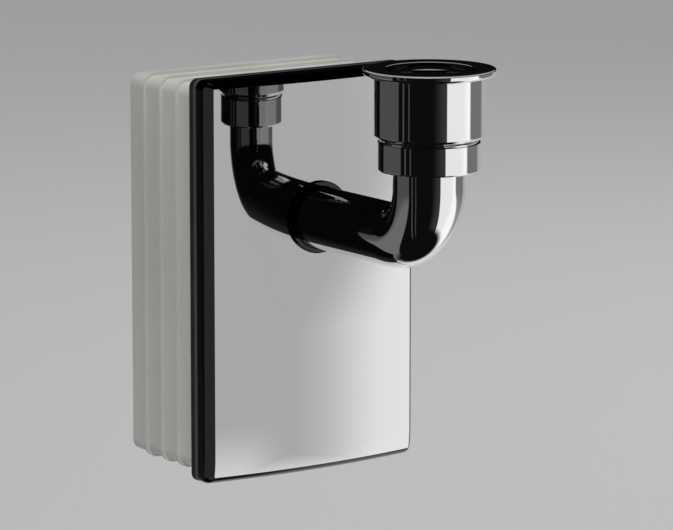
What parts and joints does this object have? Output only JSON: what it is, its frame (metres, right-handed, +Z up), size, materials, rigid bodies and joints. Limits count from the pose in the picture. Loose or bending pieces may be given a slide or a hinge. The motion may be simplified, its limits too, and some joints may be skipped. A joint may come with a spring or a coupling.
{
  "type": "concealed washbasin trap",
  "caption": "Concealed washbasin trap: a chrome collar, ring nut and bend pass through a crowned wall cover to a U bend with a water seal in a box inside the wall.",
  "frame": {"origin": "mouth of the inlet thread, on the axis of the riser", "axes": "+X to the right along the wall, +Y into the wall, +Z up"},
  "size_m": [0.161, 0.209, 0.2215],
  "materials": {
    "chrome": "mirror plated",
    "rubber": "smooth black",
    "white_plastic": "moulded",
    "grey_plastic": "moulded",
    "dark_plastic": "moulded",
    "box_plastic": "moulded, faint grain",
    "steel": "zinc plated"
  },
  "bodies": {
    "wall_part": {"rough_in_box": "box_plastic", "wall_seal": "rubber", "mounting_frame": "grey_plastic", "frame_screws": "steel", "stud_clips": "steel", "inlet_elbow": "white_plastic", "gland_ring": "dark_plastic", "outlet_elbow": "white_plastic", "outlet_lip_seal": "rubber", "outlet_grommet": "rubber", "outlet_adaptor": "white_plastic", "pipe_saddle": "grey_plastic", "saddle_screws": "steel"},
    "cover": {"cover_plate": "chrome", "cover_studs": "white_plastic", "wall_rosette": "chrome", "rosette_grommet": "rubber"},
    "swivel_seal": {"inlet_lip_seal": "rubber"},
    "bend": {"bend_pipe": "chrome"},
    "riser_seal": {"cone_seal": "rubber"},
    "sleeve": {"inlet_sleeve": "chrome", "inlet_gasket": "rubber", "basin_flange": "chrome"},
    "slip_ring": {"slip_ring": "white_plastic"},
    "nut": {"compression_nut": "chrome"},
    "u_bend": {"trap_bend": "white_plastic"},
    "leg_washer": {"leg_washer": "rubber"},
    "leg_nut": {"leg_nut": "dark_plastic"},
    "cap_washer": {"cap_washer": "rubber"},
    "cap": {"cleaning_cap": "dark_plastic"}
  },
  "joints": [
    {"name": "cover_slide", "type": "slide", "parent": "wall_part", "child": "cover", "axis": [0, -1, 0], "range_m": [0, 0.025]},
    {"name": "bend_swivel", "type": "hinge", "parent": "wall_part", "child": "swivel_seal", "pos_m": [0, 0.1065, -0.084], "axis": [0, 1, 0], "range_deg": [-30, 30]},
    {"name": "bend_insertion", "type": "slide", "parent": "swivel_seal", "child": "bend", "axis": [0, 1, 0], "range_m": [-0.008, 0.005]},
    {"name": "height_adjust", "type": "slide", "parent": "bend", "child": "riser_seal", "axis": [0, 0, 1], "range_m": [-0.003, 0.012]},
    {"name": "sleeve_turn", "type": "hinge", "parent": "riser_seal", "child": "sleeve", "pos_m": [0, 0, -0.02], "axis": [0, 0, 1], "continuous": true},
    {"name": "nut_travel", "type": "slide", "parent": "sleeve", "child": "slip_ring", "axis": [0, 0, -1], "range_m": [0, 0.00463]},
    {"name": "nut_turn", "type": "hinge", "parent": "slip_ring", "child": "nut", "pos_m": [0, 0, -0.04], "axis": [0, 0, -1], "range_deg": [0, 720]},
    {"name": "u_bend_pull", "type": "slide", "parent": "wall_part", "child": "u_bend", "axis": [0, 0, -1], "range_m": [0, 0.006]},
    {"name": "leg_nut_travel", "type": "slide", "parent": "wall_part", "child": "leg_washer", "axis": [0, 0, 1], "range_m": [0, 0.00402]},
    {"name": "leg_nut_turn", "type": "hinge", "parent": "leg_washer", "child": "leg_nut", "pos_m": [0, 0.152, -0.147], "axis": [0, 0, 1], "range_deg": [0, 720]},
    {"name": "cap_travel", "type": "slide", "parent": "u_bend", "child": "cap_washer", "axis": [0, -1, 0], "range_m": [0, 0.00402]},
    {"name": "cap_turn", "type": "hinge", "parent": "cap_washer", "child": "cap", "pos_m": [0.02, 0.1235, -0.186], "axis": [0, -1, 0], "range_deg": [0, 720]}
  ],
  "couplings": [
    {"joint": "nut_travel", "follows": "nut_turn", "m_per_rad": 0.00036749},
    {"joint": "leg_nut_travel", "follows": "leg_nut_turn", "m_per_rad": 0.00031831},
    {"joint": "cap_travel", "follows": "cap_turn", "m_per_rad": 0.00031831}
  ]
}
